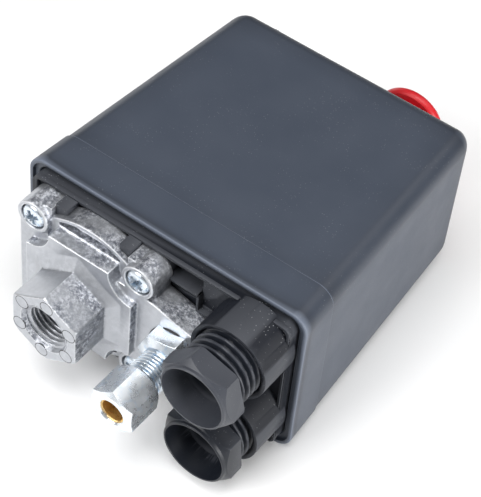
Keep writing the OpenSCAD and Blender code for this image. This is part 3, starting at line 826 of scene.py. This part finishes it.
def gland(name, z, turn):
    """Hexagon nut with a round lip and funnel mouth, and its coarse threaded shank."""
    low, high = mm_box(name)
    front, end = low.y, high.y
    back, tube_start = front + GLAND_NUT_L, front + GLAND_FUNNEL_L
    nut = hex_bar(name + "_nut", GLAND_X, z, front + 0.02, back, GLAND_FLATS, turn)
    envelope = [(0, front), (9.0, front), (9.25, front + 0.25), (9.35, front + 0.9), (11.0, front + 2.6),
                (11.2, back - 0.6), (10.6, back), (0, back)]
    combine(nut, lathe("envelope", envelope, GLAND_X, z), "INTERSECT")
    funnel = [(0, front - 1), (8.72, front - 1), (8.62, front + 0.3), (8.3, front + 3),
              (6.6, tube_start - 0.5), (6.2, tube_start), (GLAND_TUBE_R, tube_start),
              (GLAND_TUBE_R, end + 1), (0, end + 1)]
    combine(nut, lathe("funnel", funnel, GLAND_X, z), "DIFFERENCE")
    place(bevelled(nut, 0.18), name)
    shank = thread(name + "_thread", GLAND_X, z, back - 0.02, end, GLAND_ROOT_R, GLAND_CREST_R,
                   GLAND_PITCH, 7.7, slope=2.3, valley=0.75)
    tube = [(7.9, back - 0.3), (7.9, end), (GLAND_TUBE_R, end), (GLAND_TUBE_R, tube_start), (6.2, tube_start),
            (6.6, tube_start - 0.5), (7.5, back - 0.3)]
    sleeve = lathe(name + "_tube", tube, GLAND_X, z)
    place(shank, name, angle=50)
    place(sleeve, name)


# ---------------------------------------------------------------- unloader valve

def chamfered_bar(name, y0, y1, across_flats, turn, ring, both):
    """Hexagonal bar about the valve's axis, turned down to the radius ring at its front or both ends."""
    corner = across_flats / 2 / math.cos(math.radians(30)) + 0.1
    slope = (corner - ring) * 0.55
    envelope = [(0, y0), (ring, y0), (corner, y0 + slope)]
    envelope += [(corner, y1 - slope), (ring, y1), (0, y1)] if both else [(corner, y1), (0, y1)]
    bar = hex_bar(name, VALVE_X, 0, y0 - 0.001, y1, across_flats, turn)
    return combine(bar, lathe("envelope", envelope, VALVE_X, 0, 96), "INTERSECT")


def bored(piece, outline):
    """Cuts a turned hole about the valve's axis."""
    return combine(piece, lathe("bore", outline, VALVE_X), "DIFFERENCE")


ARM_Y = 15.0                                 # face of the casting's arm that the valve stands on
VALVE_HEX_FLATS, VALVE_HEX_L = 14, 5.4
TUBE_NUT_FLATS = 12
VALVE_BORE_R, NUT_THREAD_R = 3.5, 5.05
STUD_ROOT_R, STUD_CREST_R, STUD_PITCH, STUD_BORE_R = 4.3, 4.98, 1.0, 3.1
SKIRT_INNER_R, SKIRT_OUTER_R = 3.12, 3.48    # brass skirt of the olive inside the nut


def valve():
    """Zinc-plated valve body with its rolled thread, the tube nut, the olive and the small parts."""
    nut_low, nut_high = mm_box("tube_nut")
    body_low, body_high = mm_box("valve_body")
    hex_y = ARM_Y - VALVE_HEX_L
    nut = chamfered_bar("tube_nut_looks", nut_low.y, nut_high.y, TUBE_NUT_FLATS, 32, 5.35, True)
    bored(nut, [(0, nut_low.y - 1), (3.9, nut_low.y - 1), (3.9, nut_low.y), (VALVE_BORE_R, nut_low.y + 0.4),
                (VALVE_BORE_R, nut_low.y + 5), (NUT_THREAD_R, nut_low.y + 5), (NUT_THREAD_R, nut_high.y + 1),
                (0, nut_high.y + 1)])
    place(bevelled(nut, 0.1, 1), "tube_nut", angle=25)
    body = chamfered_bar("valve_hex", hex_y, ARM_Y, VALVE_HEX_FLATS, 67, 5.3, False)
    bored(body, [(0, hex_y - 1), (VALVE_BORE_R, hex_y - 1), (VALVE_BORE_R, ARM_Y + 1), (0, ARM_Y + 1)])
    place(bevelled(body, 0.1, 1), "valve_body", angle=25)
    stud = thread("stud_thread", VALVE_X, 0, body_low.y, hex_y + 0.1, STUD_ROOT_R, STUD_CREST_R, STUD_PITCH,
                  STUD_BORE_R)
    place(stud, "valve_body", angle=50)
    tail = [(4.9, ARM_Y - 0.1), (4.9, body_high.y), (VALVE_BORE_R, body_high.y), (VALVE_BORE_R, hex_y + 0.5),
            (STUD_ROOT_R, hex_y + 0.5)]
    place(lathe("valve_tail", tail, VALVE_X), "valve_body")
    washer = [(4.9, ARM_Y - 0.4), (7.3, ARM_Y - 0.4), (7.45, ARM_Y - 0.25), (7.45, ARM_Y - 0.02),
              (4.9, ARM_Y - 0.02)]
    place(lathe("valve_washer", washer, VALVE_X), "valve_body", slot="seal_rubber", replace=False)
    skirt = [(SKIRT_INNER_R, nut_low.y + 0.8), (SKIRT_OUTER_R, nut_low.y + 0.8),
             (SKIRT_OUTER_R, nut_low.y + 5.2), (SKIRT_INNER_R, nut_low.y + 5.2)]
    place(lathe("olive_skirt", skirt, VALVE_X), "olive")
    for node in ("olive", "valve_pin", "valve_seal"):
        refined(node, 0.08)


# ---------------------------------------------------------------- knob

def knob():
    """Mushroom knob: a short neck, a cove up to the rim, a round lip and a shallow crown."""
    low, high = mm_box("knob")
    r, top, bottom = mm_radius("knob"), high.y, low.y
    rim = END_Y + 12.9
    stem_r = mm_radius("knob_stem") + 0.05
    cove_r, lip_r = 3.0, 1.6
    outline = [(stem_r, bottom), (4.7, bottom), (4.95, bottom + 0.2), (5.1, bottom + 3.4)]
    outline += [(r - 2.2 - cove_r * math.cos(math.radians(a)), rim - 4.2 + cove_r * math.sin(math.radians(a)))
                for a in range(10, 91, 10)]
    outline += [(r - lip_r + lip_r * math.cos(math.radians(a)), rim + lip_r * math.sin(math.radians(a)))
                for a in range(-60, 81, 10)]
    outline += [(r * t, top - (top - rim - lip_r) * t ** 2 * 1.1) for t in (0.75, 0.6, 0.45, 0.3, 0.15, 0)]
    outline += [(0, rim - 1), (stem_r, rim - 1)]
    place(lathe("knob_looks", outline, VALVE_X, 0, 96), "knob", angle=40)
    refined("knob_stem", 0.15)
    refined("stem_clip", 0.1)


# ---------------------------------------------------------------- base

def border(name, inset0, inset1, y0, y1):
    """Ring that follows the base's outline between two insets from its edge."""
    low, high = mm_box("base")
    mid_x, half_x, half_z = (low.x + high.x) / 2, (high.x - low.x) / 2, high.z
    sections = []
    for inset, y in ((inset0, y0), (inset0, y1), (inset1, y1), (inset1, y0)):
        r = max(0.6, 3.0 - inset)
        ring = []
        for sx, sz, start in ((1, 1, 0), (-1, 1, 90), (-1, -1, 180), (1, -1, 270)):
            for k in range(9):
                a = math.radians(start + 90 * k / 8)
                ring.append((mid_x + sx * (half_x - inset - r) + r * math.cos(a), y,
                             sz * (half_z - inset - r) + r * math.sin(a)))
        sections.append(ring)
    count = len(sections[0])
    faces = []
    for j in range(4):
        a, b = j * count, (j + 1) % 4 * count
        faces += [(a + i, a + (i + 1) % count, b + (i + 1) % count, b + i) for i in range(count)]
    return build(name, [p for ring in sections for p in ring], faces)


LUG_CLEAR_R, GLAND_CLEAR_R = 5.1, 11.2      # where the bead stops short of the lugs and the gland towers
CLIP_WALL = 0.7


def base():
    """The base, with the fine bead inside its border and the small clip beside the valve arm."""
    place(bevelled(copied("base", "base_looks"), 0.25), "base")
    bead = border("base_bead", 1.0, 1.75, 22.3, 23.6)
    clearings = [(x, z, LUG_CLEAR_R) for x, z in islands("flange_screws")]
    clearings += [(GLAND_X, z, GLAND_CLEAR_R) for z in (-GLAND_Z, GLAND_Z)]
    for x, z, r in clearings:
        combine(bead, lathe("clear", [(0, 10), (r, 10), (r, 24), (0, 24)], x, z), "DIFFERENCE")
    place(bevelled(bead, 0.2), "base")
    y0, y1, x1, z1 = 21.6, 26.9, 30.2, 16.1
    clip = [block("clip_rib", (20.5, y0, z1 - CLIP_WALL), (x1, y1, z1)),
            block("clip_post", (x1 - CLIP_WALL, y0, 10.8), (x1, y1, z1)),
            block("clip_foot", (x1 - CLIP_WALL, y0, 10.1), (33.6, y1, 11.0))]
    place(bevelled(joined("base_clip", clip), 0.12), "base")


# ---------------------------------------------------------------- inside

# Each spring's joint, the Y of its fixed end, the share of its length left at the joint's limit,
# its free turns and its wire's radius.
SPRINGS = {
    "range_spring": ("plate_lift", 58.0, 0.953, 6, 0.8),
    "return_spring": ("rocker_tilt", 27.05, 0.60, 4, 0.4),
    "valve_spring": ("valve_lift", 11.05, 0.73, 4, 0.3),
}


def springs():
    """Coils between the CAD springs' ends."""
    for node, (joint, anchor_y, keep, turns, wire) in SPRINGS.items():
        low, high = mm_box(node)
        x, z = mm_middle(node, 0), mm_middle(node, 2)
        piece = coil(node + "_looks", x, z, low.y, high.y, mm_radius(node) - wire, wire, turns)
        place(piece, node, body=HOUSING, angle=60)
        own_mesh(piece)


def mechanism():
    """The CAD nodes of the inside with softened edges, and the screws with their recesses."""
    for node, edge in (("diaphragm", 0.3), ("pressure_plate", 0.3), ("spring_seat", 0.15),
                       ("range_screw", 0.12), ("lock_nut", 0.12), ("frame", 0.2), ("rocker", 0.15),
                       ("rocker_pin", 0.2),
                       ("trip_lever", 0.25), ("trip_pin", 0.2), ("contact_carrier", 0.3),
                       ("contact_bridges", 0.12), ("moving_contacts", 0.15), ("fixed_contacts", 0.15),
                       ("terminals", 0.12), ("terminal_block", 0.3), ("cover_posts", 0.15),
                       ("gland_seal_upper", 0.3), ("gland_seal_lower", 0.3)):
        refined(node, edge)
    screws("earth_screws", 2.0, 3.2, 1.75, 1, (10, 65))
    screws("terminal_screws", 2.2, 3.4, 2.0, 1, (5, 50, 25, 70))
    screws("block_screws", 1.8, 2.8, 1.5, 1, (30, 75))


cover()
casting()
screws("flange_screws", 2.4, 3.5, 2.0, -1, (12, 62, 20, 38))
screws("cover_screws", 2.0, 3.5, 1.75, 1, (15, 55))
gland("gland_nut_upper", GLAND_Z, -15)
gland("gland_nut_lower", -GLAND_Z, -24)
valve()
knob()
base()
mechanism()
springs()


# ---------------------------------------------------------------- floor, light and camera

FLOOR_HALF, FLOOR_GAP = 3.0, 0.0002          # metres
AIM = Vector((16, 45, 0)) * MM               # what the softboxes point at


def floor():
    """Pale sweep just under the switch."""
    z = cad_box[0].z - FLOOR_GAP
    corners = [(-FLOOR_HALF, -FLOOR_HALF, z), (FLOOR_HALF, -FLOOR_HALF, z),
               (FLOOR_HALF, FLOOR_HALF, z), (-FLOOR_HALF, FLOOR_HALF, z)]
    mesh = bpy.data.meshes.new("floor")
    mesh.from_pydata(corners, [], [(0, 1, 2, 3)])
    sheet = new_object("floor", mesh)
    sheet.data.materials.append(pale_floor("pale floor"))


def softbox(name, place_mm, size_mm, watts):
    """Rectangular light at a place in millimetres, pointed at the switch."""
    light = bpy.data.lights.new(name, "AREA")
    light.shape, light.size, light.size_y = "RECTANGLE", size_mm[0] * MM, size_mm[1] * MM
    light.energy = watts
    lamp = bpy.data.objects.new(name, light)
    bpy.context.scene.collection.objects.link(lamp)
    lamp.location = Vector(place_mm) * MM
    lamp.rotation_mode = "QUATERNION"
    lamp.rotation_quaternion = (AIM - lamp.location).to_track_quat("-Z", "Y")


def lights():
    """Dim white surroundings and five softboxes, shown without film toning."""
    world = bpy.data.worlds.new("studio")
    world.use_nodes = True
    background = world.node_tree.nodes["Background"]
    background.inputs["Color"].default_value = (1, 1, 1, 1)
    background.inputs["Strength"].default_value = 0.10
    bpy.context.scene.world = world
    softbox("overhead", (60, -160, 1100), (800, 700), 9)
    softbox("front_left", (-420, -820, 700), (700, 600), 11)
    softbox("right", (760, -80, 200), (300, 300), 5.2)
    softbox("back_right", (330, 540, 700), (620, 420), 1.3)
    softbox("left", (-760, 480, 120), (500, 260), 0.9)
    bpy.context.scene.view_settings.view_transform = "Standard"


LENS, SENSOR = 131.48, 36                    # millimetres
VIEW_ANGLES = (31.88, 48.2, 6.41)            # azimuth, downward tilt and roll, in degrees
EYE = Vector((185.17, -211.31, 347.66)) * MM


def camera():
    """The photograph's viewpoint: turned to the left, looking down, and slightly rolled."""
    azimuth, elevation, roll = (math.radians(a) for a in VIEW_ANGLES)
    forward = Vector((-math.sin(azimuth) * math.cos(elevation), math.cos(azimuth) * math.cos(elevation),
                      -math.sin(elevation)))
    level = Vector((math.cos(azimuth), math.sin(azimuth), 0))
    up = level.cross(forward)
    right = level * math.cos(roll) + up * math.sin(roll)
    up = right.cross(forward)
    data = bpy.data.cameras.new("camera")
    data.lens, data.sensor_width = LENS, SENSOR
    data.clip_start, data.clip_end = 0.01, 20
    eye = bpy.data.objects.new("camera", data)
    bpy.context.scene.collection.objects.link(eye)
    turn = Matrix((right, up, -forward)).transposed()
    eye.matrix_world = Matrix.Translation(EYE) @ turn.to_4x4()
    bpy.context.scene.camera = eye


floor()
lights()
camera()
